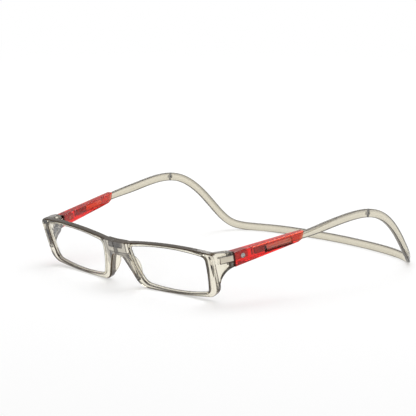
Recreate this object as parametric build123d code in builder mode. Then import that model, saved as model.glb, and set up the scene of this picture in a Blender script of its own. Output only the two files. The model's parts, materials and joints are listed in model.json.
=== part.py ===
from build123d import *
import os
from math import cos, radians, sin

# Magnetic bridge reading glasses, standing on both rim bottoms and on the back of the neckband.
# X runs across the face, the front looks along -Y, Z is up and the floor is Z = 0.
# Left and right are the wearer's: the left half is on +X and the right half is its mirror image.
# Lengths are in millimetres and angles in degrees.

# Overall pose of the two halves
temple_offset = 2.6
temple_height = 25.0
temple_setback = 18.9
temple_splay = 8.9
temple_rise = 8.5
front_tilt = 18.2
front_wrap = 6.4
front_setting = -85.05
bridge_gap = 0.2
cut_overrun = 2.0

# Rim plate and lens opening, measured in the plane of one front half from the bridge's centre
rim_depth = 3.2
rim_round = 0.9
rim_low = 23.2
rim_outer_reach = 64.4
rim_side_wall = 5.0
rim_top_crown = 3.8
rim_top_outer = 3.1
rim_top_inner = 1.4
rim_bottom_outer_radius = 7.2
rim_bottom_inner_radius = 7.5
opening_inner = 9.8
opening_top_inner = -0.3
opening_height = 22.6
opening_crown = 1.4
opening_inner_slant = 6.6
opening_outer_slant = 1.8
opening_small_radius = 2.6
opening_outer_radius = 4.2
opening_inner_radius = 5.2
opening_width = rim_outer_reach - rim_side_wall - opening_inner

# Lens and its groove
groove_depth = 0.9
groove_width = 1.6
groove_setback = 0.9
lens_clearance = 0.05

# Bridge halves, magnets and nose pads
bridge_height = 6.8
bridge_depth = 4.0
bridge_proud = 0.3
housing_length = 7.8
housing_round = 0.7
magnet_radius = 1.5
magnet_length = 4.2
magnet_rise = -1.0
pad_length = 13.5
pad_thickness = 1.4
pad_projection = 4.2
pad_drop = 5.8

# Hinge between each front half and its sleeve
knuckle_radius = 1.8
end_gap = 0.15
end_thickness = 5.2
end_front_share = 0.72
end_low_share = 0.6
end_wall_share = 0.38
end_sweep_share = 0.28
end_flare_share = 0.58
slot_height = 3.3
slot_drop = 1.2
slot_reach = 7.4
slot_clearance = 0.1
end_step = 0.4
end_front_rise = 2.4
end_bevel_drop = 8.2
tongue_side_gap = 0.4
tongue_front_inset = 1.8
anchor_length = 9.0
anchor_width = 3.0
screw_radius = 0.7
screw_running_gap = 0.05
screw_head_radius = 1.25
screw_head_height = 0.6
screw_point_cover = 1.5
screw_slot_width = 0.35
screw_slot_depth = 0.3
rivet_radius = 0.8
rivet_head_radius = 1.3
rivet_head_height = 0.5
rivet_setback = 5.6

# Red sleeves
sleeve_length = 44.0
sleeve_front_height = 7.4
sleeve_rear_height = 4.9
sleeve_front_width = 5.4
sleeve_rear_width = 3.3
sleeve_end_slant = 4.2
sleeve_kick_share = 0.4
sleeve_kick_height_share = 0.8
bevel_height = 1.6
bevel_width = 2.4
sleeve_round = 0.45
sleeve_wall = 0.5
window_start = 19.0
window_end_wall = 8.0
window_length = sleeve_length - window_start - window_end_wall
window_height = 2.7
window_drop = 1.5
notch_radius = 0.4
notch_pitch = 2.4

# Side strips, adjuster catches and neckband
strip_thickness = 2.0
strip_height = 3.7
strip_clearance = 0.1
strip_round = 0.35
loop_height = 4.4
loop_taper_share = 0.08
catch_start = 13.4
catch_length = 7.2
catch_front_gap = 2.0
tenon_length = 4.6
tenon_thickness = 1.0
tenon_height = 2.0
pip_radius = 0.4
pip_height = 0.4
loop_bulge = 7.2
loop_reach = 107.4
hump_rise = 32.6
floor_flat = 0.15
joint_gap = 0.1
joiner_length = 3.2
joiner_height = 1.6
joiner_thickness = 0.7
joiner_clearance = 0.15
joiner_seat_clearance = 0.03

# Route of the strip behind the sleeve: shares of the loop's half width, reach and hump rise
arm_route_shares = [
    (0.984, 0.168, 0.918),
    (0.995, 0.317, 0.992),
]
joint_route_share = (0.999, 0.429, 1.0)
neckband_route_shares = [
    (0.998, 0.508, 0.945),
    (0.988, 0.592, 0.800),
    (0.970, 0.674, 0.567),
    (0.945, 0.750, 0.294),
    (0.893, 0.829, 0.062),
    (0.790, 0.896, 0.0),
    (0.600, 0.949, 0.0),
    (0.325, 0.985, 0.0),
    (0.0, 1.0, 0.0),
]
arm_sections = 7
neckband_sections = 17

# Planes of the left front half and of the left sleeve
tilt = radians(front_tilt)
wrap = radians(front_wrap)
half_width = rim_outer_reach * cos(wrap) + temple_offset
loop_half_width = half_width + loop_bulge
splay = radians(temple_splay)
rise = radians(temple_rise)
across = Vector(cos(wrap), sin(wrap), 0)
forward = Vector(sin(wrap) * cos(tilt), -cos(wrap) * cos(tilt), -sin(tilt))
rim_rest = rim_low * cos(tilt) - rim_round * (cos(tilt) + sin(tilt) - 1)
front_plane = Plane(origin=(0, front_setting, rim_rest), x_dir=across, z_dir=forward)

outward = Vector(cos(splay), -sin(splay), 0)
rearward = Vector(sin(splay) * cos(rise), cos(splay) * cos(rise), sin(rise))
sleeve_corner = Vector(half_width, front_setting + temple_setback, temple_height)
# Plan plane: local x is outward, local y runs to the rear and local z is up
plan_plane = Plane(origin=sleeve_corner, x_dir=outward, z_dir=outward.cross(rearward))
# Side plane: local x runs to the rear, local y is up and local z is outward
side_plane = Plane(origin=sleeve_corner, x_dir=rearward, z_dir=outward)


def side_block(start, end, bottom, top, inner, outer, mode=Mode.ADD):
    """Add or cut a block given by its limits to the rear, in height and outward of the sleeve's corner."""
    with BuildSketch(side_plane.offset(outer)) as face:
        with Locations(((start + end) / 2, (bottom + top) / 2)):
            Rectangle(end - start, top - bottom)
    extrude(face.sketch, amount=-(outer - inner), mode=mode)


# Hinge axis, in the plan plane
pin_out = -(end_thickness - knuckle_radius)
pin_rear = -(end_gap + knuckle_radius)
slot_top = -slot_drop
slot_bottom = slot_top - slot_height
tongue_top = slot_top - slot_clearance
tongue_bottom = slot_bottom + slot_clearance
tongue_front = -(slot_reach - tongue_side_gap)
end_top = end_step
screw_point = -(sleeve_front_height - screw_point_cover)


def opening_outline(growth):
    """Draw the lens opening, grown by a distance all round, on the plane XY."""
    inner = opening_inner - growth
    outer = opening_inner + opening_width + growth
    top_inner = opening_top_inner + growth
    top_outer = opening_top_inner + opening_crown + growth
    bottom = opening_top_inner + opening_crown - opening_height - growth
    inner_top = (inner, top_inner)
    outer_top = (outer, top_outer)
    outer_bottom = (outer - opening_outer_slant, bottom + 2 * opening_crown)
    inner_bottom = (inner + opening_inner_slant, bottom + opening_crown)
    middle = opening_inner + opening_width / 2
    with BuildSketch() as outline:
        with BuildLine():
            ThreePointArc(inner_top, (middle, top_outer + opening_crown), outer_top)
            ThreePointArc(
                outer_top, (outer - opening_outer_slant / 4, (top_outer + bottom) / 2), outer_bottom
            )
            ThreePointArc(outer_bottom, (middle, bottom), inner_bottom)
            ThreePointArc(
                inner_bottom, (inner + opening_inner_slant / 3, (top_inner + bottom) / 2), inner_top
            )
        make_face()
        corners = [
            (inner_top, opening_small_radius),
            (outer_top, opening_small_radius),
            (outer_bottom, opening_outer_radius),
            (inner_bottom, opening_inner_radius),
        ]
        for corner, radius in corners:
            fillet(outline.vertices().sort_by_distance((*corner, 0))[0], radius=radius + growth)
    return outline.sketch_local


def rim_outline():
    """Draw the outer contour of one front half, bridge half included, on the plane XY."""
    bridge_bottom = rim_top_inner - bridge_height
    nasal_reach = opening_inner + opening_inner_slant / 2
    rim_width = rim_low + rim_top_inner - opening_height
    outer_top = (rim_outer_reach, rim_top_outer)
    outer_bottom = (rim_outer_reach - opening_outer_slant / 2, -rim_low + opening_crown * 2)
    inner_bottom = (nasal_reach - rim_width / 2, -rim_low + rim_width / 4)
    under_bridge = (housing_length / 2, bridge_bottom - rim_round * 2)
    start_top = (-housing_length / 2, rim_top_inner)
    start_bottom = (-housing_length / 2, bridge_bottom)
    with BuildSketch() as outline:
        with BuildLine():
            Line(start_bottom, start_top)
            Line(start_top, (housing_length, rim_top_inner))
            ThreePointArc(
                (housing_length, rim_top_inner),
                ((housing_length + rim_outer_reach) / 2, rim_top_crown),
                outer_top,
            )
            Line(outer_top, outer_bottom)
            ThreePointArc(outer_bottom, (rim_outer_reach / 2, -rim_low), inner_bottom)
            ThreePointArc(
                inner_bottom,
                (housing_length - rim_round, (bridge_bottom - rim_low) / 2 + rim_round * 2),
                under_bridge,
            )
            Line(under_bridge, start_bottom)
        make_face()
        corners = [
            (outer_top, opening_small_radius),
            (outer_bottom, rim_bottom_outer_radius),
            (inner_bottom, rim_bottom_inner_radius),
            (under_bridge, opening_small_radius),
        ]
        for corner, radius in corners:
            fillet(outline.vertices().sort_by_distance((*corner, 0))[0], radius=radius)
    return outline.sketch_local


def end_outline(growth):
    """Draw the outer end of the rim, its outer edge moved outward by a distance, on the plane XY."""
    outer_top = (rim_outer_reach + growth, rim_top_outer)
    outer_bottom = (rim_outer_reach - opening_outer_slant / 2 + growth, -rim_low + opening_crown * 2)
    middle = rim_outer_reach / 2
    with BuildSketch() as outline:
        with BuildLine():
            Polyline((middle, rim_top_crown), outer_top, outer_bottom, (middle, -rim_low), close=True)
        make_face()
        for corner, radius in [(outer_top, opening_small_radius), (outer_bottom, rim_bottom_outer_radius)]:
            fillet(outline.vertices().sort_by_distance((*corner, 0))[0], radius=radius)
    return outline.sketch_local


opening = opening_outline(0)
rim_shape = rim_outline()

# Limits of the end piece: the rim's own outline, then flared outward from its back to the sleeve
with BuildPart() as end_envelope:
    with BuildSketch(front_plane.offset(-rim_round)):
        add(rim_shape)
    extrude(amount=rim_round - rim_depth)
    with BuildSketch(front_plane.offset(-rim_depth)):
        add(end_outline(0))
    with BuildSketch(front_plane.offset(-temple_setback)):
        add(end_outline(end_flare_share * (temple_setback - rim_depth)))
    loft()

# Left front half: rim, end piece with hinge slot, bridge half with magnet pocket, and nose pad
side_sweep_drop = sleeve_front_height + (rim_low - sleeve_front_height) / 2
with BuildPart() as end_piece:
    with BuildSketch(side_plane):
        with BuildLine():
            Polyline(
                (-end_gap, -sleeve_front_height),
                (-end_gap, end_top),
                (-temple_setback * end_front_share, end_front_rise),
                (-temple_setback * end_low_share, -side_sweep_drop),
                (-temple_setback * end_wall_share, -side_sweep_drop),
            )
            ThreePointArc(
                (-temple_setback * end_wall_share, -side_sweep_drop),
                (-temple_setback * end_sweep_share, -sleeve_front_height - rim_depth),
                (-end_gap, -sleeve_front_height),
            )
        make_face()
    extrude(amount=-end_thickness)
    # Bevel the inner lower edge of the knuckles, fading out towards the rim
    end_bevel_corner = Vector(-end_gap, bevel_height - sleeve_front_height, -end_thickness)
    end_bevel_across = Vector(0, -bevel_height, bevel_width)
    end_bevel_along = Vector(-slot_reach, -end_bevel_drop, 0)
    end_bevel_plane = Plane(
        origin=side_plane.from_local_coords(end_bevel_corner),
        z_dir=side_plane.from_local_coords(end_bevel_along.cross(end_bevel_across)) - sleeve_corner,
    )
    split(bisect_by=end_bevel_plane, keep=Keep.TOP)
    # Round the knuckles about the hinge axis
    with BuildSketch(plan_plane.offset(-rim_low)) as knuckle_plan:
        with BuildLine():
            Polyline(
                (-end_thickness, -end_gap),
                (cut_overrun, -end_gap),
                (cut_overrun, -2 * temple_setback),
                (-end_thickness, -2 * temple_setback),
                close=True,
            )
        make_face()
        knuckle_corner = knuckle_plan.vertices().sort_by_distance((-end_thickness, -end_gap, 0))[0]
        fillet(knuckle_corner, radius=knuckle_radius)
    extrude(amount=2 * rim_low, mode=Mode.INTERSECT)
    add(end_envelope.part, mode=Mode.INTERSECT)

with BuildPart() as left_front_half:
    with BuildSketch(front_plane):
        add(rim_shape)
    extrude(amount=-rim_depth)
    fillet(left_front_half.faces().sort_by(Axis((0, 0, 0), forward))[-1].edges(), radius=rim_round)
    add(end_piece.part)
    # Bridge housing, a little proud of the rim in front and behind
    with BuildSketch(front_plane.offset(bridge_proud)):
        with Locations((0, rim_top_inner - bridge_height / 2)):
            RectangleRounded(2 * housing_length, bridge_height, housing_round)
    extrude(amount=-bridge_depth)
    # Nose pad, a curved fin behind the nasal side of the rim
    pad_start = front_plane.from_local_coords(
        Vector(opening_inner - 2 * pad_thickness, -pad_drop, -rim_depth)
    )
    pad_end = front_plane.from_local_coords(
        Vector(opening_inner + opening_inner_slant / 3, -pad_drop - pad_length, -rim_depth)
    )
    pad_along = (pad_end - pad_start).normalized()
    pad_chord = (pad_end - pad_start).length
    with BuildSketch(Plane(origin=pad_start, x_dir=pad_along, z_dir=pad_along.cross(forward))):
        with BuildLine():
            ThreePointArc((0, 0), (pad_chord / 2, -pad_projection), (pad_chord, 0))
            Polyline((pad_chord, 0), (pad_chord, rim_depth / 2), (0, rim_depth / 2), (0, 0))
        make_face()
    extrude(amount=pad_thickness)
    with BuildSketch(front_plane.offset(cut_overrun)):
        add(opening)
    extrude(amount=-(rim_depth + cut_overrun), mode=Mode.SUBTRACT)
    with BuildSketch(front_plane.offset(-groove_setback)):
        add(opening_outline(groove_depth))
    extrude(amount=-groove_width, mode=Mode.SUBTRACT)
    side_block(
        -slot_reach, cut_overrun, slot_bottom, slot_top, -end_thickness - cut_overrun, cut_overrun,
        mode=Mode.SUBTRACT,
    )
    # Screw bore, with a seat for the head in the top of the end piece
    with BuildSketch(plan_plane.offset(end_top + cut_overrun)):
        with Locations((pin_out, pin_rear)):
            Circle(screw_radius)
    extrude(amount=-(end_top + cut_overrun - screw_point), mode=Mode.SUBTRACT)
    with BuildSketch(plan_plane.offset(end_top - screw_head_height)):
        with Locations((pin_out, pin_rear)):
            Circle(screw_head_radius)
    extrude(amount=screw_head_height + cut_overrun, mode=Mode.SUBTRACT)
    # Mating face on the symmetry plane, with the magnet's pocket
    split(bisect_by=Plane.YZ.offset(bridge_gap / 2), keep=Keep.TOP)
    magnet_seat = front_plane.from_local_coords(Vector(0, magnet_rise, -bridge_depth / 2 + bridge_proud))
    magnet_plane = Plane(origin=(bridge_gap / 2, magnet_seat.Y, magnet_seat.Z), z_dir=(1, 0, 0))
    with BuildSketch(magnet_plane):
        Circle(magnet_radius)
    extrude(amount=magnet_length, mode=Mode.SUBTRACT)

with BuildPart() as left_magnet:
    with BuildSketch(magnet_plane):
        Circle(magnet_radius)
    extrude(amount=magnet_length)

with BuildPart() as left_lens:
    with BuildSketch(front_plane.offset(-groove_setback - lens_clearance)):
        add(opening_outline(groove_depth - lens_clearance))
    extrude(amount=-(groove_width - 2 * lens_clearance))

# Hinge tongue: a grey plate that fills the slot, with an eye round the screw and an anchor in the sleeve
with BuildPart() as left_hinge_tongue:
    with BuildSketch(plan_plane.offset(tongue_bottom)):
        with Locations((pin_out, pin_rear)):
            Circle(knuckle_radius)
        with BuildLine():
            Polyline(
                (pin_out, tongue_front),
                (-tongue_front_inset, tongue_front),
                (-tongue_side_gap, 0),
                (pin_out - knuckle_radius + tongue_side_gap, 0),
                (pin_out - knuckle_radius + tongue_side_gap, pin_rear),
                (pin_out, pin_rear),
                close=True,
            )
        make_face()
        with Locations((-sleeve_front_width / 2, anchor_length / 2)):
            Rectangle(anchor_width, anchor_length)
        with Locations((pin_out, pin_rear)):
            Circle(screw_radius + screw_running_gap, mode=Mode.SUBTRACT)
    extrude(amount=tongue_top - tongue_bottom)
    rivet_plane = Plane(
        origin=side_plane.from_local_coords(Vector(rivet_setback, (tongue_top + tongue_bottom) / 2, 0)),
        x_dir=rearward, z_dir=outward,
    )
    with BuildSketch(rivet_plane.offset(cut_overrun)):
        Circle(rivet_radius)
    extrude(amount=-(sleeve_front_width + 2 * cut_overrun), mode=Mode.SUBTRACT)

with BuildPart() as left_hinge_screw:
    with BuildSketch(plan_plane.offset(screw_point)):
        with Locations((pin_out, pin_rear)):
            Circle(screw_radius)
    extrude(amount=end_top - screw_head_height - screw_point)
    with BuildSketch(plan_plane.offset(end_top - screw_head_height)):
        with Locations((pin_out, pin_rear)):
            Circle(screw_head_radius)
    extrude(amount=screw_head_height)
    with BuildSketch(plan_plane.offset(end_top - screw_slot_depth)):
        with Locations((pin_out, pin_rear)):
            Rectangle(2 * screw_head_radius + cut_overrun, screw_slot_width)
    extrude(amount=screw_slot_depth, mode=Mode.SUBTRACT)

# Strip inside the sleeve, and the cavity that it slides in
strip_outer = -(sleeve_wall + strip_clearance)
strip_inner = strip_outer - strip_thickness
strip_top = -(sleeve_wall + strip_clearance)
strip_bottom = strip_top - strip_height
rivet_depth = sleeve_front_width - sleeve_wall

with BuildPart() as left_sleeve:
    with BuildSketch(side_plane):
        with BuildLine():
            Polyline(
                (0, 0),
                (sleeve_length, 0),
                (
                    sleeve_length - sleeve_end_slant * sleeve_kick_share,
                    -sleeve_rear_height * sleeve_kick_height_share,
                ),
                (sleeve_length - sleeve_end_slant, -sleeve_rear_height),
                (0, -sleeve_front_height),
                close=True,
            )
        make_face()
    extrude(amount=-sleeve_front_width)
    # Taper the inner face towards the rear
    with BuildSketch(plan_plane.offset(-2 * sleeve_front_height)):
        with BuildLine():
            Polyline(
                (-sleeve_front_width, 0),
                (-sleeve_rear_width, sleeve_length),
                (-sleeve_rear_width, sleeve_length + cut_overrun),
                (-2 * sleeve_front_width, sleeve_length + cut_overrun),
                (-2 * sleeve_front_width, 0),
                close=True,
            )
        make_face()
    extrude(amount=3 * sleeve_front_height, mode=Mode.SUBTRACT)
    fillet(left_sleeve.edges().filter_by(Axis(sleeve_corner, rearward)), radius=sleeve_round)
    # Bevel the inner lower edge, fading out at the rear end
    bevel_corner = Vector(0, bevel_height - sleeve_front_height, -sleeve_front_width)
    bevel_across = Vector(0, -bevel_height, bevel_width)
    bevel_along = Vector(sleeve_length, -sleeve_rear_height, -sleeve_rear_width) - bevel_corner
    bevel_plane = Plane(
        origin=side_plane.from_local_coords(bevel_corner),
        z_dir=side_plane.from_local_coords(bevel_across.cross(bevel_along)) - sleeve_corner,
    )
    split(bisect_by=bevel_plane, keep=Keep.TOP)
    side_block(
        catch_start - catch_front_gap, sleeve_length + cut_overrun,
        strip_bottom - strip_clearance, strip_top + strip_clearance,
        strip_inner - strip_clearance, strip_outer + strip_clearance, mode=Mode.SUBTRACT,
    )
    side_block(
        window_start, window_start + window_length, -window_drop - window_height, -window_drop,
        strip_outer, cut_overrun, mode=Mode.SUBTRACT,
    )
    # Ratchet notches along the window's lower edge
    notch_count = int(window_length / notch_pitch)
    with BuildSketch(side_plane.offset(cut_overrun)):
        for step in range(notch_count):
            with Locations((window_start + notch_pitch * (step + 0.5), -window_drop - window_height)):
                Circle(notch_radius)
    extrude(amount=-(cut_overrun + sleeve_wall), mode=Mode.SUBTRACT)
    # Pocket for the tongue's anchor, and the rivet's hole
    side_block(
        -cut_overrun, anchor_length, tongue_bottom, tongue_top,
        -(sleeve_front_width + anchor_width) / 2, -(sleeve_front_width - anchor_width) / 2,
        mode=Mode.SUBTRACT,
    )
    with BuildSketch(rivet_plane.offset(cut_overrun)):
        Circle(rivet_radius)
    extrude(amount=-(rivet_depth + cut_overrun), mode=Mode.SUBTRACT)
    with BuildSketch(rivet_plane.offset(cut_overrun)):
        Circle(rivet_head_radius)
    extrude(amount=-(rivet_head_height + cut_overrun), mode=Mode.SUBTRACT)

with BuildPart() as left_tongue_rivet:
    with BuildSketch(rivet_plane):
        Circle(rivet_head_radius)
    extrude(amount=-rivet_head_height)
    with BuildSketch(rivet_plane.offset(-rivet_head_height)):
        Circle(rivet_radius)
    extrude(amount=-(rivet_depth - rivet_head_height))

# Adjuster catch: a cap on the strip's front end, with a pip that rides along the notches
catch_end = catch_start + catch_length
with BuildPart() as left_adjuster_catch:
    side_block(catch_start, catch_end, strip_bottom, strip_top, strip_inner, strip_outer)
    side_block(
        catch_end - tenon_length, catch_end,
        (strip_top + strip_bottom - tenon_height) / 2, (strip_top + strip_bottom + tenon_height) / 2,
        (strip_inner + strip_outer - tenon_thickness) / 2, (strip_inner + strip_outer + tenon_thickness) / 2,
        mode=Mode.SUBTRACT,
    )
    pip_height_place = -window_drop - window_height + pip_radius + strip_clearance
    with BuildSketch(side_plane.offset(strip_outer)):
        with Locations((window_start + notch_pitch / 2, pip_height_place)):
            Circle(pip_radius)
    extrude(amount=pip_height)


# Route of the strip from the sleeve's rear end to the middle of the neckband
strip_exit = side_plane.from_local_coords(
    Vector(sleeve_length, (strip_top + strip_bottom) / 2, (strip_outer + strip_inner) / 2)
)


def route_point(shares):
    """Give the place of a route point from its shares of half width, reach and hump rise."""
    width_share, reach_share, rise_share = shares
    return Vector(
        loop_half_width * width_share,
        strip_exit.Y + loop_reach * reach_share,
        loop_height / 2 - floor_flat + hump_rise * rise_share,
    )


with BuildLine() as route_line:
    route = Spline(
        [strip_exit]
        + [route_point(shares) for shares in arm_route_shares]
        + [route_point(joint_route_share)]
        + [route_point(shares) for shares in neckband_route_shares],
        tangents=(rearward, Vector(-1, 0, 0)),
    )
joint_place = route.param_at_point(route_point(joint_route_share))


def section_plane(share):
    """Give the plane of the strip's section at a share of the route: local x is outward, local y is up."""
    direction = route.tangent_at(share)
    return Plane(origin=route.position_at(share), x_dir=direction.cross(Vector(0, 0, 1)), z_dir=direction)


def strip_section(share):
    """Draw the strip's section at a share of the route, grown from its size in the sleeve to the loop's."""
    growth = min(share / loop_taper_share, 1)
    RectangleRounded(strip_thickness, strip_height + (loop_height - strip_height) * growth, strip_round)


joint_plane = section_plane(joint_place)
arm_end_place = joint_place - joint_gap / 2 / route.length
band_end_place = joint_place + joint_gap / 2 / route.length
print("route length", round(route.length, 2), "joint at share", round(joint_place, 4))

with BuildPart() as left_arm:
    side_block(catch_end, sleeve_length, strip_bottom, strip_top, strip_inner, strip_outer)
    side_block(
        catch_end - tenon_length, catch_end,
        (strip_top + strip_bottom - tenon_height) / 2, (strip_top + strip_bottom + tenon_height) / 2,
        (strip_inner + strip_outer - tenon_thickness) / 2, (strip_inner + strip_outer + tenon_thickness) / 2,
    )
    for section in range(arm_sections):
        place = arm_end_place * section / (arm_sections - 1)
        with BuildSketch(section_plane(place)):
            strip_section(place)
    loft()
    with BuildSketch(joint_plane.offset(cut_overrun)):
        Rectangle(joiner_thickness + 2 * joiner_clearance, joiner_height + 2 * joiner_clearance)
    extrude(amount=-(cut_overrun + joiner_length / 2 + joiner_clearance), mode=Mode.SUBTRACT)

with BuildPart() as neckband:
    for section in range(neckband_sections):
        place = band_end_place + (1 - band_end_place) * section / (neckband_sections - 1)
        with BuildSketch(section_plane(place)):
            strip_section(place)
    loft()
    with BuildSketch(joint_plane.offset(-cut_overrun)):
        Rectangle(
            joiner_thickness + 2 * joiner_seat_clearance, joiner_height + 2 * joiner_seat_clearance,
        )
    extrude(amount=cut_overrun + joiner_length / 2 + joiner_seat_clearance, mode=Mode.SUBTRACT)
    mirror(about=Plane.YZ)
    split(bisect_by=Plane.XY, keep=Keep.TOP)

with BuildPart() as left_band_joiner:
    with BuildSketch(joint_plane.offset(-joiner_length / 2)):
        Rectangle(joiner_thickness, joiner_height)
    extrude(amount=joiner_length)

# Every piece but the neckband has its mirror image on the right
left_pieces = {
    "front_half": left_front_half,
    "lens": left_lens,
    "magnet": left_magnet,
    "hinge_tongue": left_hinge_tongue,
    "hinge_screw": left_hinge_screw,
    "sleeve": left_sleeve,
    "tongue_rivet": left_tongue_rivet,
    "adjuster_catch": left_adjuster_catch,
    "side_arm": left_arm,
    "band_joiner": left_band_joiner,
}

os.makedirs("parts", exist_ok=True)
neckband.part.label = "neckband"
export_step(neckband.part, "parts/neckband.step")
for name, piece in left_pieces.items():
    piece.part.label = "left_" + name
    export_step(piece.part, "parts/left_" + name + ".step")
    with BuildPart() as right_piece:
        add(mirror(piece.part, about=Plane.YZ, mode=Mode.PRIVATE))
    right_piece.part.label = "right_" + name
    export_step(right_piece.part, "parts/right_" + name + ".step")
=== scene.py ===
"""Looks of the magnetic bridge reading glasses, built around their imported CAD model.

Everything is in metres and in the frame of the CAD model: X runs across the face with the
wearer's left on +X, the front looks along -Y and the glasses stand on Z = 0.
"""

import json
import logging
import math
from dataclasses import dataclass, field
from enum import Enum

import bmesh
import bpy
from mathutils import Matrix, Vector


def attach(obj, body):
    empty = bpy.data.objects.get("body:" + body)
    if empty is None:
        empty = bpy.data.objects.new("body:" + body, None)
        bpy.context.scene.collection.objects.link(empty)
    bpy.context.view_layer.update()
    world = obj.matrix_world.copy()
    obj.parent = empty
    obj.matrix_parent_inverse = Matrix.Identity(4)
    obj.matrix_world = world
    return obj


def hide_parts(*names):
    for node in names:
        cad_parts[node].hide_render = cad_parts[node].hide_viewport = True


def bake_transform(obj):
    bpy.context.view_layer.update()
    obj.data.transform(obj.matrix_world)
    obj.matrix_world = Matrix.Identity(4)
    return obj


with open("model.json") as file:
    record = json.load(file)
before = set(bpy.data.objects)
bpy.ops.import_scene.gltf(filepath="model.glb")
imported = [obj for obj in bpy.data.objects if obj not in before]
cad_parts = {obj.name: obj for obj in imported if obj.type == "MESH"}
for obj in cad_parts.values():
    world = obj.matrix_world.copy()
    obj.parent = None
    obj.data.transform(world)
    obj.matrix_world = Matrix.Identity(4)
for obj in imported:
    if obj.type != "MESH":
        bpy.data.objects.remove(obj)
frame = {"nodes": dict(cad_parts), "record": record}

Triple = tuple[float, float, float]
Colour = Triple

log = logging.getLogger("glasses")
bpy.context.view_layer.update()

MM = 0.001
NEVER = math.inf
WHITE = (1.0, 1.0, 1.0)
# The mesh attribute of painted shade: how dark each point is painted as a wall seen edge on.
PAINTED_SHADE_MARK = "wall_mark"
SLOTS = {part["node"]: part["material_slot"] for part in frame["record"]["subparts"]}


class Side(Enum):
    """One half of the glasses: the wearer's left on +X or right on -X."""

    LEFT = 1
    RIGHT = -1

    def named(self, part: str) -> str:
        """Give a part's name on this side."""
        return f"{self.name.lower()}_{part}"


class Socket:
    """A node's output, which adds Math nodes to its shader when it stands in an expression."""

    def __init__(self, shader: "Shader", output: bpy.types.NodeSocket | None) -> None:
        """Wrap an output.

        Args:
            shader: the shader that the output belongs to.
            output: the output itself, or None for a node that ends the shader.
        """
        self.shader = shader
        self.output = output

    def _math(self, operation: str, first: "Socket | float", second: "Socket | float") -> "Socket":
        """Add one Math node.

        Args:
            operation: the Math node's operation.
            first: its first value or link.
            second: its second value or link.

        Returns:
            The node's result.
        """
        return self.shader.node("ShaderNodeMath", {"operation": operation}, {0: first, 1: second})

    def __add__(self, other: "Socket | float") -> "Socket":
        """Add a value."""
        return self._math("ADD", self, other)

    def __radd__(self, other: float) -> "Socket":
        """Add to a value."""
        return self._math("ADD", other, self)

    def __sub__(self, other: "Socket | float") -> "Socket":
        """Take a value away."""
        return self._math("SUBTRACT", self, other)

    def __rsub__(self, other: float) -> "Socket":
        """Take this away from a value."""
        return self._math("SUBTRACT", other, self)

    def __mul__(self, other: "Socket | float") -> "Socket":
        """Multiply by a value."""
        return self._math("MULTIPLY", self, other)

    def __rmul__(self, other: float) -> "Socket":
        """Multiply a value by this."""
        return self._math("MULTIPLY", other, self)

    def at_least(self, other: "Socket | float") -> "Socket":
        """Keep the higher of the two."""
        return self._math("MAXIMUM", self, other)


class Shader:
    """The nodes of one material or of the world.

    The Mix node's colour sockets go by number, because their names repeat.
    """

    NEW_STOP_PLACE = 0.5
    COLOUR_INPUTS = (6, 7)
    COLOUR_OUTPUT = 2

    def __init__(self, tree: bpy.types.NodeTree) -> None:
        """Start with no nodes.

        Args:
            tree: the node tree to fill.
        """
        self.tree = tree
        self.tree.nodes.clear()

    def node(
        self,
        kind: str,
        settings: dict[str, object] | None = None,
        inputs: dict[str | int, object] | None = None,
        output: str | int = 0,
    ) -> Socket:
        """Add a node.

        Args:
            kind: the node's type.
            settings: its settings, set first; "stops" are a ramp's places and colours.
            inputs: values or links of its inputs, by name or number.
            output: the output to give back, by name or number.

        Returns:
            That output, or the node's first one.
        """
        made = self.tree.nodes.new(kind)
        for name, value in (settings or {}).items():
            if name == "stops":
                self._set_stops(made.color_ramp, value)
            else:
                setattr(made, name, value)
        for key, value in (inputs or {}).items():
            if isinstance(value, Socket):
                self.tree.links.new(value.output, made.inputs[key])
            elif isinstance(value, tuple) and made.inputs[key].type == "RGBA":
                made.inputs[key].default_value = (*value[:3], 1.0)
            else:
                made.inputs[key].default_value = value
        return Socket(self, made.outputs[output] if len(made.outputs) else None)

    def _set_stops(self, ramp: bpy.types.ColorRamp, stops: list[tuple[float, float]]) -> None:
        """Set the stops of a grey ramp.

        Args:
            ramp: the ramp.
            stops: a place and a grey level for each stop.
        """
        while len(ramp.elements) < len(stops):
            ramp.elements.new(self.NEW_STOP_PLACE)
        for element, (place, level) in zip(ramp.elements, stops):
            element.position = place
            element.color = (level, level, level, 1.0)

    def mix(
        self, factor: Socket | float, first: Socket | Colour, second: Socket | Colour
    ) -> Socket:
        """Mix two colours.

        Args:
            factor: the share of the second colour.
            first: the first colour.
            second: the second colour.

        Returns:
            The mixed colour.
        """
        colours = dict(zip(self.COLOUR_INPUTS, (first, second)))
        return self.node(
            "ShaderNodeMix",
            {"data_type": "RGBA"},
            {"Factor": factor, **colours},
            output=self.COLOUR_OUTPUT,
        )

    def noise(self, place: Socket, size: float, detail: float = 2.0) -> Socket:
        """Add a noise.

        Args:
            place: the coordinates.
            size: the size of its patches, in metres.
            detail: its finer octaves.

        Returns:
            The noise's value, about 0.5 in the middle.
        """
        inputs = {"Vector": place, "Scale": 1 / size, "Detail": detail}
        return self.node("ShaderNodeTexNoise", {}, inputs, output="Fac")


def new_material(name: str) -> tuple[bpy.types.Material, Shader]:
    """Make a material, and give it with its empty shader."""
    made = bpy.data.materials.new(name)
    made.use_nodes = True
    return made, Shader(made.node_tree)


def darkened(colour: Colour, share: float) -> Colour:
    """Give a colour at a share of its brightness."""
    return tuple(share * level for level in colour)


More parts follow.
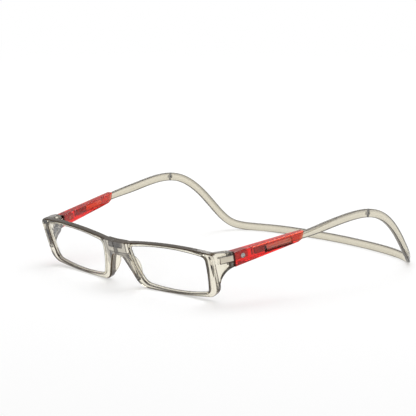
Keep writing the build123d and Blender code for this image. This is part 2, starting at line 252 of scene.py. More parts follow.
@dataclass(frozen=True)
class ClearPlastic:
    """Polished clear plastic whose tint deepens with the way that light takes through it.

    Walls seen edge on look dark, as they do in the photograph, and that dark is painted shade:
    the mesh marks how much each point takes, and there its colour is darkened and a thin dark
    cover hides a share of the clear surface. On faces the cover, if any, is the plastic's own
    colour.
    """

    name: str
    surface_tint: Colour
    wall_tint: Colour
    deep_tint: Colour
    deep_density: float
    shadow_tint: Colour
    shadow_clearness: float = 0.7
    wall_cover: float = 0.75
    face_cover: float = 0.0
    cover_tint: Colour = (0.5, 0.5, 0.5)
    cover_roughness: float = 0.15
    cover_refraction: float = 1.2
    refraction: float = 1.49
    roughness: float = 0.02
    haze: float = 0.03
    haze_patch: float = 4 * MM
    haze_shade: float = 0.97
    ripple: float = 0.02
    ripple_patch: float = 3 * MM
    ripple_depth: float = 1 * MM

    def material(self) -> bpy.types.Material:
        """Make the material."""
        made, shader = new_material(self.name)
        place = shader.node("ShaderNodeTexCoord", output="Object")
        haze = shader.noise(place, self.haze_patch)
        ripple = shader.noise(place, self.ripple_patch)
        bump = shader.node(
            "ShaderNodeBump",
            {},
            {"Strength": self.ripple, "Distance": self.ripple_depth, "Height": ripple},
            output="Normal",
        )
        face = shader.mix(haze, self.surface_tint, darkened(self.surface_tint, self.haze_shade))
        # How much shade is painted at each point of the mesh.
        painted_shade = shader.node("ShaderNodeAttribute", {"attribute_name": PAINTED_SHADE_MARK}, output="Fac")
        # The clear surface, its colour painted darker towards the wall tint where shade is
        # painted.
        surface = shader.node(
            "ShaderNodeBsdfPrincipled",
            {},
            {
                "Base Color": shader.mix(painted_shade, face, self.wall_tint),
                "Roughness": self.roughness + haze * self.haze,
                "IOR": self.refraction,
                "Transmission Weight": 1.0,
                "Normal": bump,
            },
        )
        # A thin cover of the plastic's own colour on faces, and of painted dark shade on walls.
        colour_and_shade_cover = shader.node(
            "ShaderNodeBsdfPrincipled",
            {},
            {
                "Base Color": shader.mix(painted_shade, self.cover_tint, self.wall_tint),
                "Roughness": self.cover_roughness + haze * self.haze,
                "IOR": self.cover_refraction,
            },
        )
        # The cover's share: the face cover on faces, rising to the wall cover where shade is
        # painted.
        colour_and_shade_share = self.face_cover + painted_shade * (self.wall_cover - self.face_cover)
        body = shader.node("ShaderNodeMixShader", {}, {0: colour_and_shade_share, 1: surface, 2: colour_and_shade_cover})
        clear = shader.node("ShaderNodeBsdfTransparent", {}, {"Color": self.shadow_tint})
        shadow = shader.node("ShaderNodeLightPath", output="Is Shadow Ray")
        mixed = shader.node(
            "ShaderNodeMixShader", {}, {0: shadow * self.shadow_clearness, 1: body, 2: clear}
        )
        depth = shader.node(
            "ShaderNodeVolumeAbsorption",
            {},
            {"Color": self.deep_tint, "Density": self.deep_density},
        )
        shader.node("ShaderNodeOutputMaterial", {}, {"Surface": mixed, "Volume": depth})
        return made


@dataclass(frozen=True)
class Metal:
    """Turned or plated metal with a fine grain."""

    name: str
    colour: Colour
    roughness: float = 0.25
    grain: float = 0.15
    grain_size: float = 0.15 * MM
    grain_detail: float = 4.0
    grain_shade: float = 0.7

    def material(self) -> bpy.types.Material:
        """Make the material."""
        made, shader = new_material(self.name)
        place = shader.node("ShaderNodeTexCoord", output="Object")
        grain = shader.noise(place, self.grain_size, self.grain_detail)
        surface = shader.node(
            "ShaderNodeBsdfPrincipled",
            {},
            {
                "Base Color": shader.mix(
                    grain, self.colour, darkened(self.colour, self.grain_shade)
                ),
                "Roughness": self.roughness + grain * self.grain,
                "Metallic": 1.0,
            },
        )
        shader.node("ShaderNodeOutputMaterial", {}, {"Surface": surface})
        return made


@dataclass
class Finishes:
    """The finishes of all the pieces, by the record's material slot."""

    # In each plastic the wall tint and wall cover are painted shade on walls seen edge on; its
    # other tints are its own colour.
    frame_plastic: ClearPlastic = ClearPlastic(
        "smoke_frame_plastic",
        surface_tint=(0.93, 0.895, 0.77),
        wall_tint=(0.070, 0.046, 0.022),
        deep_tint=(0.60, 0.53, 0.43),
        deep_density=60.0,
        shadow_tint=(0.9, 0.88, 0.84),
        wall_cover=0.84,
    )
    strip_plastic: ClearPlastic = ClearPlastic(
        "smoke_strip_plastic",
        surface_tint=(0.76, 0.72, 0.60),
        wall_tint=(0.055, 0.036, 0.016),
        deep_tint=(0.60, 0.54, 0.42),
        deep_density=120.0,
        shadow_tint=(0.93, 0.91, 0.87),
        wall_cover=0.88,
    )
    sleeve_plastic: ClearPlastic = ClearPlastic(
        "red_sleeve_plastic",
        surface_tint=(1.0, 0.52, 0.30),
        wall_tint=(0.03, 0.005, 0.004),
        deep_tint=(0.985, 0.045, 0.006),
        deep_density=1000.0,
        shadow_tint=(0.9, 0.3, 0.28),
        wall_cover=0.8,
        face_cover=0.12,
        cover_tint=(0.95, 0.02, 0.004),
    )
    tongue_plastic: ClearPlastic = ClearPlastic(
        "grey_tongue_plastic",
        surface_tint=(0.84, 0.80, 0.72),
        wall_tint=(0.10, 0.085, 0.065),
        deep_tint=(0.6, 0.55, 0.45),
        deep_density=60.0,
        shadow_tint=(0.8, 0.78, 0.74),
        roughness=0.35,
        wall_cover=0.85,
        face_cover=0.8,
        cover_tint=(0.86, 0.79, 0.65),
    )
    catch_plastic: ClearPlastic = ClearPlastic(
        "dark_catch_plastic",
        surface_tint=(0.80, 0.72, 0.68),
        wall_tint=(0.02, 0.012, 0.01),
        deep_tint=(0.4, 0.3, 0.27),
        deep_density=200.0,
        shadow_tint=(0.6, 0.56, 0.52),
        wall_cover=0.9,
        face_cover=0.5,
        cover_tint=(0.06, 0.035, 0.03),
    )
    lens: ClearPlastic = ClearPlastic(
        "clear_lens_resin",
        surface_tint=WHITE,
        wall_tint=(0.8, 0.8, 0.78),
        deep_tint=(0.9, 0.93, 0.9),
        deep_density=12.0,
        shadow_tint=(0.98, 0.98, 0.98),
        shadow_clearness=0.95,
        roughness=0.0,
        haze=0.0,
        ripple=0.0,
    )
    magnet: Metal = Metal("dark_nickel_magnet", (0.30, 0.28, 0.27), 0.3)
    screw_steel: Metal = Metal("bright_screw_steel", (0.50, 0.48, 0.46), 0.14)
    joiner_steel: Metal = Metal("flat_joiner_steel", (0.62, 0.62, 0.63), 0.3)
    made: dict[str, bpy.types.Material] = field(default_factory=dict)

    def of(self, slot: str) -> bpy.types.Material:
        """Give the material of a slot, made once.

        Args:
            slot: the record's name of the slot.

        Returns:
            The material.
        """
        if slot not in self.made:
            self.made[slot] = getattr(self, slot).material()
        return self.made[slot]

    def dress(self, piece: bpy.types.Object, node: str) -> None:
        """Give a piece the material of a CAD node's slot, and no other.

        Args:
            piece: the piece.
            node: the CAD node.
        """
        piece.data.materials.clear()
        piece.data.materials.append(self.of(SLOTS[node]))


def new_object(name: str, data: bpy.types.ID) -> bpy.types.Object:
    """Make an object of a mesh, a lamp or a camera, and put it in the scene."""
    made = bpy.data.objects.new(name, data)
    bpy.context.scene.collection.objects.link(made)
    return made


def stand_in(piece: bpy.types.Object, node: str, finishes: Finishes) -> None:
    """Dress a piece and let it stand for its CAD node.

    Args:
        piece: the piece.
        node: the CAD node.
        finishes: the finishes.
    """
    finishes.dress(piece, node)
    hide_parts(node)
    log.info("%s: %d faces", piece.name, len(piece.data.polygons))


def finished_mesh(piece: bpy.types.Object) -> bpy.types.Mesh:
    """Give a piece's mesh with its modifiers applied."""
    graph = bpy.context.evaluated_depsgraph_get()
    return bpy.data.meshes.new_from_object(piece.evaluated_get(graph), depsgraph=graph)


def skinned_mesh(
    name: str, work: bmesh.types.BMesh, rings: list[list[bmesh.types.BMVert]]
) -> bpy.types.Mesh:
    """Join a row of rings of points into one closed, smooth-shaded mesh with flat ends.

    Args:
        name: the mesh's name.
        work: the mesh in work, which is freed.
        rings: its points, ring by ring.

    Returns:
        The mesh.
    """
    for before, after in zip(rings, rings[1:]):
        for place in range(len(before)):
            following = (place + 1) % len(before)
            corners = (before[place], before[following], after[following], after[place])
            work.faces.new(corners).smooth = True
    for cap in (rings[0], rings[-1]):
        work.faces.new(cap)
    bmesh.ops.recalc_face_normals(work, faces=work.faces)
    mesh = bpy.data.meshes.new(name)
    work.to_mesh(mesh)
    work.free()
    return mesh


def turned_to(right: Vector, up: Vector, back: Vector, place: Vector) -> Matrix:
    """Give the matrix of three axes at a place."""
    return Matrix.Translation(place) @ Matrix((right, up, back)).transposed().to_4x4()


def new_box(name: str, low: Vector, high: Vector, place: Matrix) -> bpy.types.Object:
    """Make a box, given by two corners in a place of its own.

    Args:
        name: the box's name.
        low: its lowest corner.
        high: its highest corner.
        place: the matrix of its own axes.

    Returns:
        The box.
    """
    work = bmesh.new()
    bmesh.ops.create_cube(work, size=1.0)
    for vertex in work.verts:
        share = vertex.co + Vector((0.5, 0.5, 0.5))
        vertex.co = place @ Vector([a + (b - a) * s for a, b, s in zip(low, high, share)])
    mesh = bpy.data.meshes.new(name)
    work.to_mesh(mesh)
    work.free()
    return new_object(name, mesh)


@dataclass
class Setting:
    """The places and directions of one side, as the CAD model has them.

    The front is tilted and wrapped about the middle of the bridge. The sleeve has axes of its own
    from its front, top and outer corner: to the rear, up and outward.
    """

    side: Side
    tilt: float = math.radians(18.2)
    wrap: float = math.radians(6.4)
    splay: float = math.radians(8.9)
    climb: float = math.radians(8.5)
    centre: Triple = (0.0, -85.05 * MM, 21.803 * MM)
    corner: Triple = (66.599 * MM, -66.15 * MM, 25.0 * MM)

    def across(self, point: Vector) -> Vector:
        """Give a point or direction of the left on this side."""
        return Vector((self.side.value * point.x, point.y, point.z))

    def forward(self) -> Vector:
        """Give the direction that the front looks in."""
        return self.across(Vector((
            math.sin(self.wrap) * math.cos(self.tilt),
            -math.cos(self.wrap) * math.cos(self.tilt),
            -math.sin(self.tilt),
        )))

    def front_centre(self) -> Vector:
        """Give the middle of the bridge on the front's plane."""
        return Vector(self.centre)

    def along_front(self) -> Vector:
        """Give the direction along the front, from the bridge to the hinge."""
        return self.across(Vector((math.cos(self.wrap), math.sin(self.wrap), 0)))

    def up_front(self) -> Vector:
        """Give the direction up along the front's plane."""
        return self.across(Vector((
            math.sin(self.wrap) * math.sin(self.tilt),
            -math.cos(self.wrap) * math.sin(self.tilt),
            math.cos(self.tilt),
        )))

    def left_axes(self) -> tuple[Vector, Vector, Vector]:
        """Give the left sleeve's axes: to the rear, up and outward."""
        outward = Vector((math.cos(self.splay), -math.sin(self.splay), 0))
        rearward = Vector((
            math.sin(self.splay) * math.cos(self.climb),
            math.cos(self.splay) * math.cos(self.climb),
            math.sin(self.climb),
        ))
        return rearward, outward.cross(rearward), outward

    def sleeve_axes(self) -> tuple[Vector, Vector, Vector]:
        """Give this side's sleeve axes: to the rear, up and outward."""
        rearward, up, outward = self.left_axes()
        return self.across(rearward), self.across(up), self.across(outward)

    def sleeve_point(self, rear: float, up: float, out: float) -> Vector:
        """Give a point from its distances to the rear, up and outward of the sleeve's corner.

        Args:
            rear: how far to the rear.
            up: how far up.
            out: how far outward.

        Returns:
            The point, on this side.
        """
        rearward, upward, outward = self.left_axes()
        return self.across(Vector(self.corner) + rearward * rear + upward * up + outward * out)

    def sleeve_place(self, point: Vector) -> Vector:
        """Give a point's distances to the rear, up and outward of the sleeve's corner."""
        place = self.across(point) - Vector(self.corner)
        return Vector([place.dot(axis) for axis in self.left_axes()])


@dataclass
class Route:
    """The centre line of the left strip behind its sleeve, a smooth curve through its points."""

    points: list[Vector]
    start: Vector
    end: Vector

    def __post_init__(self) -> None:
        """Work out the curve's direction at each point, for an even curvature all along."""
        knots = [0.0]
        for before, after in zip(self.points, self.points[1:]):
            knots.append(knots[-1] + (after - before).length)
        self.knots = knots
        self.slopes = [self.start] + [Vector()] * (len(self.points) - 2) + [self.end]
        self._solve()

    def _solve(self) -> None:
        """Solve the inner slopes, in which neighbours share one curvature."""
        count = len(self.points)
        ratios = [0.0] * count
        sums = [self.start.copy() for _ in range(count)]
        for place in range(1, count - 1):
            before = self.knots[place] - self.knots[place - 1]
            after = self.knots[place + 1] - self.knots[place]
            pull = 3 * (
                after / before * (self.points[place] - self.points[place - 1])
                + before / after * (self.points[place + 1] - self.points[place])
            )
            scale = 2 * (before + after) - after * ratios[place - 1]
            ratios[place] = before / scale
            sums[place] = (pull - after * sums[place - 1]) / scale
        for place in range(count - 2, 0, -1):
            self.slopes[place] = sums[place] - ratios[place] * self.slopes[place + 1]

    def at(self, reach: float) -> tuple[Vector, Vector]:
        """Give a point of the curve and its direction.

        Args:
            reach: how far along the curve, from 0 to the last knot.

        Returns:
            The point and the direction there.
        """
        span = 0
        while span < len(self.points) - 2 and reach > self.knots[span + 1]:
            span += 1
        width = self.knots[span + 1] - self.knots[span]
        t = (reach - self.knots[span]) / width
        a, b = self.points[span], self.points[span + 1]
        m, n = self.slopes[span] * width, self.slopes[span + 1] * width
        point = (
            a * (2 * t**3 - 3 * t**2 + 1) + m * (t**3 - 2 * t**2 + t)
            + b * (3 * t**2 - 2 * t**3) + n * (t**3 - t**2)
        )
        slope = (
            a * (6 * t**2 - 6 * t) + m * (3 * t**2 - 4 * t + 1)
            + b * (6 * t - 6 * t**2) + n * (3 * t**2 - 2 * t)
        )
        return point, slope.normalized()


def cross_axes(direction: Vector) -> tuple[Vector, Vector]:
    """Give the level direction across a strip, and the one up through it, from its own."""
    out = direction.cross(Vector((0, 0, 1))).normalized()
    return out, out.cross(direction)


@dataclass
class Section:
    """One rounded rectangular section of a strip, with the shade painted on it as dark as the
    photograph shows it.

    Its corners take as much painted shade as walls, its top and bottom part of it. On its outer
    side the painted shade fades from them, more from above than from below, to an unshaded pale
    line just above the middle.
    """

    place: Vector
    direction: Vector
    thickness: float
    height: float
    rounding: float
    outer_sign: int = 1
    corner_steps: int = 5
    flat_share: float = 0.45
    upper_share: float = 0.4
    lower_share: float = 0.12
    pale_line: float = 0.12

    def ring(self) -> list[tuple[Vector, float]]:
        """Give the section's points, each with its share of painted wall shade."""
        out, up = cross_axes(self.direction)
        flat_out, flat_up = self.thickness / 2 - self.rounding, self.height / 2 - self.rounding
        points = []
        for quarter in range(4):
            sign_out = 1 if quarter in (0, 3) else -1
            sign_up = 1 if quarter in (0, 1) else -1
            for step in range(self.corner_steps):
                turn = math.pi / 2 * (quarter + step / (self.corner_steps - 1))
                a = sign_out * flat_out + self.rounding * math.cos(turn)
                b = sign_up * flat_up + self.rounding * math.sin(turn)
                least = self.upper_share if sign_up > 0 else self.lower_share
                if sign_out != self.outer_sign:
                    least = 0.0
                share = max(math.sin(2 * turn) ** 2, self.flat_share * math.sin(turn) ** 2, least)
                points.append((self.place + out * a + up * b, share))
            if quarter in (1, 3):
                side_out, side_up = sign_out * self.thickness / 2, self.height * self.pale_line
                points.append((self.place + out * side_out + up * side_up, 0.0))
        return points


def strip_mesh(name: str, sections: list[Section], floor: float = 0.0) -> bpy.types.Mesh:
    """Skin a row of sections into one closed strip, flattened where it lies on the floor.

    Args:
        name: the mesh's name.
        sections: the sections, in order.
        floor: the floor's height.

    Returns:
        The mesh, marked with the shade painted on its walls.
    """
    work = bmesh.new()
    painted_shade = work.verts.layers.float.new(PAINTED_SHADE_MARK)
    rings = []
    for section in sections:
        ring = []
        for point, share in section.ring():
            point.z = max(point.z, floor)
            vertex = work.verts.new(point)
            vertex[painted_shade] = share
            ring.append(vertex)
        rings.append(ring)
    return skinned_mesh(name, work, rings)


@dataclass
class Strips:
    """The two side arms and the neckband, one bent strip from sleeve to sleeve.

    The arms end and the neckband starts at the humps, where a flat joiner lies in a recess. A
    share places a point of the left route: how far out to the loop's half width, back along its
    reach, and up to the hump.
    """

    thickness: float = 2.0 * MM
    height: float = 3.7 * MM
    loop_height: float = 4.4 * MM
    taper_reach: float = 13.8 * MM
    rounding: float = 0.5 * MM
    tenon_thickness: float = 1.0 * MM
    tenon_height: float = 2.0 * MM
    tenon_rounding: float = 0.1 * MM
    tenon_start: float = 16.0 * MM
    bar_start: float = 20.6 * MM
    bar_end: float = 44.0 * MM
    bar_drop: float = 2.45 * MM
    bar_inset: float = 1.6 * MM
    loop_half_width: float = 73.799 * MM
    loop_reach: float = 107.4 * MM
    floor_rise: float = 2.05 * MM
    hump_rise: float = 32.6 * MM
    step: float = 1.0 * MM
    joint_gap: float = 0.1 * MM
    recess_thickness: float = 1.0 * MM
    recess_height: float = 1.9 * MM
    recess_depth: float = 1.75 * MM
    band_recess_play: float = 0.12 * MM
    band_bend_reach: float = 60.0 * MM
    arm_shares: tuple[Triple, ...] = ((0.984, 0.168, 0.918), (0.995, 0.317, 0.992))
    joint_share: Triple = (0.999, 0.429, 1.0)
    band_shares: tuple[Triple, ...] = (
        (0.998, 0.508, 0.945), (0.988, 0.592, 0.800), (0.970, 0.674, 0.567), (0.945, 0.750, 0.294),
        (0.893, 0.829, 0.062), (0.790, 0.896, 0.0), (0.600, 0.949, 0.0), (0.325, 0.985, 0.0),
        (0.0, 1.0, 0.0),
    )

    def __post_init__(self) -> None:
        """Lay the left route, which both sides share."""
        left = Setting(Side.LEFT)
        rearward, _, _ = left.sleeve_axes()
        exit_place = left.sleeve_point(self.bar_end, -self.bar_drop, -self.bar_inset)
        shares = (*self.arm_shares, self.joint_share, *self.band_shares)
        points = [exit_place] + [
            Vector((
                self.loop_half_width * width,
                exit_place.y + self.loop_reach * reach,
                self.floor_rise + self.hump_rise * rise,
            ))
            for width, reach, rise in shares
        ]
        self.route = Route(points, rearward, Vector((-1, 0, 0)))
        self.joint = self.route.knots[len(self.arm_shares) + 1]

    def section(self, reach: float, side: Side = Side.LEFT) -> Section:
        """Give the strip's section at a reach along the route of a side."""
        place, direction = self.route.at(reach)
        if side is Side.RIGHT:
            place, direction = (Vector((-v.x, v.y, v.z)) for v in (place, direction))
        growth = min(reach / self.taper_reach, 1.0)
        height = self.height + (self.loop_height - self.height) * growth
        return Section(place, direction, self.thickness, height, self.rounding)

    def stations(self, start: float, end: float) -> list[float]:
        """Give even stations from one reach to another."""
        count = max(2, round(abs(end - start) / self.step))
        return [start + (end - start) * place / count for place in range(count + 1)]

    def recess(self, piece: bpy.types.Object, side: Side, play: float) -> None:
        """Cut the recess that takes the joiner at a hump.

        Args:
            piece: the strip.
            side: the hump's side.
            play: the room left round the joiner.
        """
        place, direction = self.route.at(self.joint)
        place.x, direction.x = side.value * place.x, side.value * direction.x
        out, up = cross_axes(direction)
        half = Vector((self.recess_thickness / 2, self.recess_height / 2, self.recess_depth))
        half = half - Vector((play, play, play))
        axes = turned_to(out, up, direction, place)
        cutter = new_box(piece.name + "_recess", -half, half, axes)
        cut = piece.modifiers.new("recess", "BOOLEAN")
        cut.operation = "DIFFERENCE"
        cut.solver = "EXACT"
        cut.object = cutter
        mesh = finished_mesh(piece)
        piece.modifiers.clear()
        piece.data = mesh
        bpy.data.objects.remove(cutter)

    def build_arm(self, side: Side, finishes: Finishes) -> bpy.types.Object:
        """Build a side arm, from its tenon in the adjuster catch to the hump.

        Args:
            side: the arm's side.
            finishes: the finishes.

        Returns:
            The arm.
        """
        setting = Setting(side)
        rearward, _, _ = setting.sleeve_axes()
        tenon = (self.tenon_thickness, self.tenon_height, self.tenon_rounding)
        bar = (self.thickness, self.height, self.rounding)
        sizes = [(self.tenon_start, tenon), (self.bar_start, tenon), (self.bar_start, bar)]
        sizes += [(rear, bar) for rear in self.stations(self.bar_start, self.bar_end)[1:-1]]
        sections = []
        for rear, size in sizes:
            place = setting.sleeve_point(rear, -self.bar_drop, -self.bar_inset)
            sections.append(Section(place, rearward, *size, side.value))
        for reach in self.stations(0.0, self.joint - self.joint_gap / 2):
            section = self.section(reach, side)
            section.outer_sign = side.value
            sections.append(section)
        name = side.named("side_strip")
        arm = new_object(name, strip_mesh(name, sections))
        self.recess(arm, side, 0.0)
        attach(arm, side.named("arm"))
        stand_in(arm, side.named("side_arm"), finishes)
        return arm

    def build_neckband(self, finishes: Finishes) -> bpy.types.Object:
        """Build the neckband, from one hump round the back to the other.

        Args:
            finishes: the finishes.

        Returns:
            The neckband.
        """
        stations = self.stations(self.joint + self.joint_gap / 2, self.route.knots[-1])
        sections = [self.section(reach) for reach in stations]
        for reach in reversed(stations[:-1]):
            other = self.section(reach, Side.RIGHT)
            other.direction = -other.direction
            sections.append(other)
        band = new_object("neck_strip", strip_mesh("neck_strip", sections))
        for side in Side:
            self.recess(band, side, self.band_recess_play)
        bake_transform(band)
        stand_in(band, "neckband", finishes)
        return band


def smooth_share(share: float) -> float:
    """Ease a share in and out between 0 and 1."""
    share = min(max(share, 0.0), 1.0)
    return share * share * (3 - 2 * share)


@dataclass
class PaintedWallShade:
    """Tells the walls of one moulded piece from its faces, and how much dark shade is painted on
    them, as the photograph shows them dark.

    A point is on a face where its surface looks along `face`, and on a wall where it looks
    across. A wall that looks towards `pale_side` is left pale, with no painted shade, and behind
    `back_start` so is one that looks away from it. The front's rear ring and the lip at its lens
    opening's outer end always take full painted shade, the groove behind that lip and the nose
    pad none, and the bridge is darkened at least a little. The opening's places are measured
    along, up and into the front from the middle of the bridge.
    """

    setting: Setting
    face: Vector
    pale_side: Vector | None = None
    ring_start: float = NEVER
    opening_start: float = NEVER
    opening_end: float = 60.9 * MM
    opening_low: float = -19.5 * MM
    opening_high: float = 2.0 * MM
    lip_front: float = 0.25 * MM
    lip_back: float = 1.2 * MM
    groove_back: float = 3.4 * MM
    bridge_reach: float = 0.0
    bridge_share: float = 0.4
    pad_reach: float = 0.0
    back_start: float = -NEVER
    ramp_start: float = 0.95
    ramp: float = 0.2
    low_tilt: float = -0.1
    low_ramp_start: float = 0.99
    low_ramp: float = 0.13
    flat_share: float = 0.74
    flat_start: float = 0.4

    def share(self, normal: Vector, place: Vector) -> float:
        """Say how much painted wall shade a point of the surface takes.

        Args:
            normal: the surface's normal there.
            place: the point itself.

        Returns:
            From 0 on a face to 1 on a wall.
        """
        behind = place.dot(self.face) < self.back_start
        if behind and abs(place.x) < self.pad_reach:
            return 0.0
        if self.setting.sleeve_place(place)[0] > self.ring_start:
            return 1.0
        along, up = self.setting.along_front(), self.setting.up_front()
        from_centre = place - self.setting.front_centre()
        depth = -from_centre.dot(self.face)
        in_reach = self.opening_start < from_centre.dot(along) < self.opening_end
        in_rise = self.opening_low < from_centre.dot(up) < self.opening_high
        if in_reach and in_rise and self.lip_front < depth < self.groove_back:
            return 1.0 if depth < self.lip_back else 0.0
        across = abs(normal.dot(self.face))
        if self.pale_side is not None and (behind or normal.dot(self.pale_side) > 0):
            across = math.hypot(normal.dot(self.face), normal.dot(self.pale_side))
        start, ramp = self.ramp_start, self.ramp
        if min(normal.dot(along), normal.dot(up)) < self.low_tilt and not behind:
            start, ramp = self.low_ramp_start, self.low_ramp
        share = smooth_share((start - across) / ramp)
        share *= 1 - (1 - self.flat_share) * smooth_share((self.flat_start - across) / self.ramp)
        return max(share, self.bridge_share) if abs(place.x) < self.bridge_reach else share


@dataclass
class PaintedSleeveShade(PaintedWallShade):
    """Tells where shade is painted on a sleeve: its ends, its window's lower edge and, less dark,
    its edges.
    """

    ring_end: float = 0.7 * MM
    end_start: float = 0.5
    line_start: float = 0.15
    line_end: float = 0.92
    line_share: float = 0.5
    window_start: float = 18.8 * MM
    window_end: float = 36.2 * MM
    window_low: float = -4.9 * MM
    window_high: float = -3.7 * MM
    window_depth: float = 1.0 * MM

    def share(self, normal: Vector, place: Vector) -> float:
        """Say how much painted wall shade a point of the sleeve takes.

        Args:
            normal: the surface's normal there.
            place: the point itself.

        Returns:
            From 0 on a side to 1 on an end.
        """
        rear, up, out = self.setting.sleeve_place(place)
        on_window = (
            self.window_start < rear < self.window_end
            and self.window_low < up < self.window_high
            and out > -self.window_depth
        )
        if on_window or rear < self.ring_end:
            return 1.0
        _, upward, outward = self.setting.sleeve_axes()
        share = smooth_share((abs(normal.dot(self.face)) - self.end_start) / self.ramp)
        tilt = normal.dot(outward)
        if tilt > self.line_start and max(tilt, abs(normal.dot(upward))) < self.line_end:
            share = max(share, self.line_share)
        return share


@dataclass
class Rivet:
    """The rivet that holds a hinge tongue in its sleeve, its head with a groove and a low dome.

    The profile gives radius and place outward of the sleeve's face, both in millimetres, from
    the shank's inner end to the middle of the dome.
    """

    side: Side
    setback: float = 5.6 * MM
    drop: float = 2.85 * MM
    steps: int = 40
    profile: tuple[tuple[float, float], ...] = (
        (0.8, -4.9), (0.8, -0.5), (1.28, -0.5), (1.28, -0.16), (1.2, -0.06), (1.08, -0.02),
        (0.94, -0.05), (0.86, -0.2), (0.76, -0.22), (0.66, -0.12), (0.5, -0.05), (0.28, -0.01),
    )

    def build(self, finishes: Finishes) -> bpy.types.Object:
        """Turn the rivet and let it stand for its node.

        Args:
            finishes: the finishes.

        Returns:
            The rivet.
        """
        setting = Setting(self.side)
        work = bmesh.new()
        rings = []
        for radius, out in self.profile:
            ring = []
            for step in range(self.steps):
                turn = math.tau * step / self.steps
                rear = self.setback + radius * MM * math.cos(turn)
                up = -self.drop + radius * MM * math.sin(turn)
                ring.append(work.verts.new(setting.sleeve_point(rear, up, out * MM)))
            rings.append(ring)
        name = self.side.named("domed_rivet")
        rivet = new_object(name, skinned_mesh(name, work, rings))
        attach(rivet, self.side.named("sleeve"))
        stand_in(rivet, self.side.named("tongue_rivet"), finishes)
        return rivet


@dataclass
class Moulding:
    """A moulded piece: a CAD node's own form, its edges softened as by a polished mould."""

    node: str
    body: str
    # Where dark shade is painted on the piece's walls.
    walls: PaintedWallShade
    voxel: float = 0.16 * MM
    passes: int = 6
    smoothing: float = 0.5
    kept_share: float = 0.4

    def build(self, finishes: Finishes) -> bpy.types.Object:
        """Build the piece, which replaces its node.

        Args:
            finishes: the finishes.

        Returns:
            The piece.
        """
        piece = new_object(self.node + "_moulding", frame["nodes"][self.node].data.copy())
        remesh = piece.modifiers.new("even", "REMESH")
        remesh.mode = "VOXEL"
        remesh.voxel_size = self.voxel
        soften = piece.modifiers.new("soften", "SMOOTH")
        soften.factor = self.smoothing
        soften.iterations = self.passes
        thin = piece.modifiers.new("thin", "DECIMATE")
        thin.ratio = self.kept_share
        mesh = finished_mesh(piece)
        piece.modifiers.clear()
        piece.data = mesh
        self.mark_walls(mesh)
        for polygon in mesh.polygons:
            polygon.use_smooth = True
        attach(piece, self.body)
        stand_in(piece, self.node, finishes)
        return piece

    def mark_walls(self, mesh: bpy.types.Mesh) -> None:
        """Write each point's share of painted wall shade to the mesh.

        Args:
            mesh: the piece's mesh.
        """
        shares = [self.walls.share(vertex.normal, vertex.co) for vertex in mesh.vertices]
        mark = mesh.attributes.new(PAINTED_SHADE_MARK, "FLOAT", "POINT")
        mark.data.foreach_set("value", shares)


@dataclass
class Half:
    """The moulded pieces, the rivet and the plain parts of one half of the glasses."""

    side: Side
    ring_start: float = -0.9 * MM
    opening_start: float = 57.0 * MM
    bridge_reach: float = 8.2 * MM
    pad_reach: float = 25.0 * MM
    front_depth: float = 3.5 * MM
    fine_voxel: float = 0.12 * MM
    fine_passes: int = 3
    plain_parts: tuple[str, ...] = ("lens", "magnet", "hinge_screw", "band_joiner")

    def mouldings(self) -> list[Moulding]:
        """List the moulded pieces, each with its own way to tell its walls and the shade painted
        on them.
        """
        side, setting = self.side, Setting(self.side)
        forward = setting.forward()
        rearward, _, outward = setting.sleeve_axes()
        front_shade = PaintedWallShade(
            setting,
            forward,
            outward,
            ring_start=self.ring_start,
            opening_start=self.opening_start,
            bridge_reach=self.bridge_reach,
            pad_reach=self.pad_reach,
            back_start=forward.dot(setting.front_centre()) - self.front_depth,
        )
        sleeve_shade = PaintedSleeveShade(setting, rearward)
        small_shade = PaintedWallShade(setting, outward)
        fine = (self.fine_voxel, self.fine_passes)
        return [
            Moulding(side.named("front_half"), side.named("front"), front_shade),
            Moulding(side.named("sleeve"), side.named("sleeve"), sleeve_shade),
            Moulding(side.named("hinge_tongue"), side.named("sleeve"), small_shade, *fine),
            Moulding(side.named("adjuster_catch"), side.named("arm"), small_shade, *fine),
        ]

    def build(self, finishes: Finishes) -> None:
        """Build the mouldings and the rivet, and dress the CAD nodes that are shown as they are.

        Args:
            finishes: the finishes.
        """
        for moulding in self.mouldings():
            moulding.build(finishes)
        Rivet(self.side).build(finishes)
        for part in self.plain_parts:
            node = self.side.named(part)
            finishes.dress(frame["nodes"][node], node)
            log.info("%s takes %s", node, SLOTS[node])


def seen_share(shader: Shader) -> Socket:
    """Give 1 to the eye, to gloss and through clear plastic, and 0 to light that falls on things.

    Args:
        shader: the shader.

    Returns:
        The share.
    """
    seen = shader.node("ShaderNodeLightPath", output="Is Camera Ray")
    for path in ("Is Glossy Ray", "Is Transmission Ray"):
        seen = seen.at_least(shader.node("ShaderNodeLightPath", output=path))
    return seen


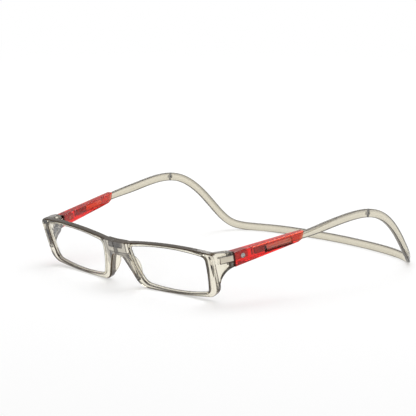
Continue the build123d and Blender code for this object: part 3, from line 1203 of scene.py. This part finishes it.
@dataclass
class Studio:
    """The pale floor, the world, the lamp and the camera."""

    floor_reach: float = 4.0
    floor_grey: float = 0.94
    floor_roughness: float = 0.9
    floor_share: float = 0.35
    floor_near: float = 0.25
    floor_far: float = 1.1
    world_level: float = 0.72
    studio_walls: tuple[tuple[float, float], ...] = (
        (0.0, 1.0), (0.3, 1.0), (0.45, 0.2), (0.7, 0.2), (0.88, 1.0),
    )
    lamp_place: Triple = (-0.35, 0.55, 1.1)
    lamp_size: float = 0.9
    lamp_power: float = 9.0
    camera_place: Triple = (0.7904, -0.7956, 0.2363)
    camera_azimuth: float = math.radians(45.4827)
    camera_elevation: float = math.radians(10.4408)
    camera_roll: float = math.radians(0.6548)
    camera_focal: float = 2153.48
    camera_near: float = 0.01
    frame_pixels: int = 416
    sensor: float = 36.0

    def build(self) -> None:
        """Build the whole studio."""
        self.build_world()
        self.build_floor()
        self.build_lamp()
        self.build_camera()
        bpy.context.scene.view_settings.view_transform = "Standard"

    def build_world(self) -> None:
        """Light the scene evenly, and show white to the eye and a grey band to gloss."""
        world = bpy.data.worlds.new("studio_world")
        bpy.context.scene.world = world
        world.use_nodes = True
        shader = Shader(world.node_tree)
        direction = shader.node("ShaderNodeTexCoord", output="Generated")
        height = shader.node("ShaderNodeSeparateXYZ", {}, {0: direction}, output="Z")
        walls = shader.node(
            "ShaderNodeValToRGB", {"stops": list(self.studio_walls)}, {"Fac": height}
        )
        camera = shader.node("ShaderNodeLightPath", output="Is Camera Ray")
        shown = seen_share(shader)
        level = self.world_level + shown * (walls.at_least(camera) - self.world_level)
        back = shader.node("ShaderNodeBackground", {}, {"Color": WHITE, "Strength": level})
        shader.node("ShaderNodeOutputWorld", {}, {"Surface": back})

    def build_floor(self) -> None:
        """Lay a plain pale floor."""
        reach = self.floor_reach
        mesh = bpy.data.meshes.new("floor")
        corners = [(-reach, -reach, 0), (reach, -reach, 0), (reach, reach, 0), (-reach, reach, 0)]
        mesh.from_pydata(corners, [], [(0, 1, 2, 3)])
        floor = new_object("floor", mesh)
        paper, shader = new_material("pale_floor")
        surface = shader.node(
            "ShaderNodeBsdfPrincipled",
            {},
            {"Base Color": darkened(WHITE, self.floor_grey), "Roughness": self.floor_roughness},
        )
        white = shader.node("ShaderNodeEmission", {}, {"Color": WHITE, "Strength": 1.0})
        place = shader.node("ShaderNodeTexCoord", output="Object")
        distance = shader.node(
            "ShaderNodeVectorMath", {"operation": "LENGTH"}, {0: place}, output="Value"
        )
        far = shader.node(
            "ShaderNodeMapRange",
            {"interpolation_type": "SMOOTHSTEP"},
            {
                "Value": distance, "From Min": self.floor_near, "From Max": self.floor_far,
                "To Min": self.floor_share, "To Max": 1.0,
            },
        )
        shown = seen_share(shader) * far
        mixed = shader.node("ShaderNodeMixShader", {}, {0: shown, 1: surface, 2: white})
        shader.node("ShaderNodeOutputMaterial", {}, {"Surface": mixed})
        mesh.materials.append(paper)

    def build_lamp(self) -> None:
        """Hang one large soft lamp above and behind the glasses."""
        data = bpy.data.lights.new("softbox", "AREA")
        data.energy = self.lamp_power
        data.size = self.lamp_size
        lamp = new_object("softbox", data)
        lamp.location = self.lamp_place
        lamp.rotation_mode = "QUATERNION"
        lamp.rotation_quaternion = Vector(self.lamp_place).to_track_quat("Z", "Y")

    def build_camera(self) -> None:
        """Place the camera at the photograph's viewing angle."""
        azimuth, elevation, roll = self.camera_azimuth, self.camera_elevation, self.camera_roll
        back = Vector((
            math.sin(azimuth) * math.cos(elevation),
            -math.cos(azimuth) * math.cos(elevation),
            math.sin(elevation),
        ))
        level_right = Vector((math.cos(azimuth), math.sin(azimuth), 0))
        level_up = back.cross(level_right)
        right = math.cos(roll) * level_right + math.sin(roll) * level_up
        up = math.cos(roll) * level_up - math.sin(roll) * level_right
        data = bpy.data.cameras.new("photo_camera")
        data.sensor_width = self.sensor
        data.lens = self.camera_focal * self.sensor / self.frame_pixels
        data.clip_start = self.camera_near
        camera = new_object("photo_camera", data)
        camera.matrix_world = turned_to(right, up, back, Vector(self.camera_place))
        bpy.context.scene.camera = camera


def main() -> None:
    """Build every piece in order."""
    logging.basicConfig(level=logging.INFO, format="%(message)s")
    finishes = Finishes()
    strips = Strips()
    strips.build_neckband(finishes)
    for side in Side:
        strips.build_arm(side, finishes)
        Half(side).build(finishes)
    Studio().build()


if __name__ == "__main__":
    main()
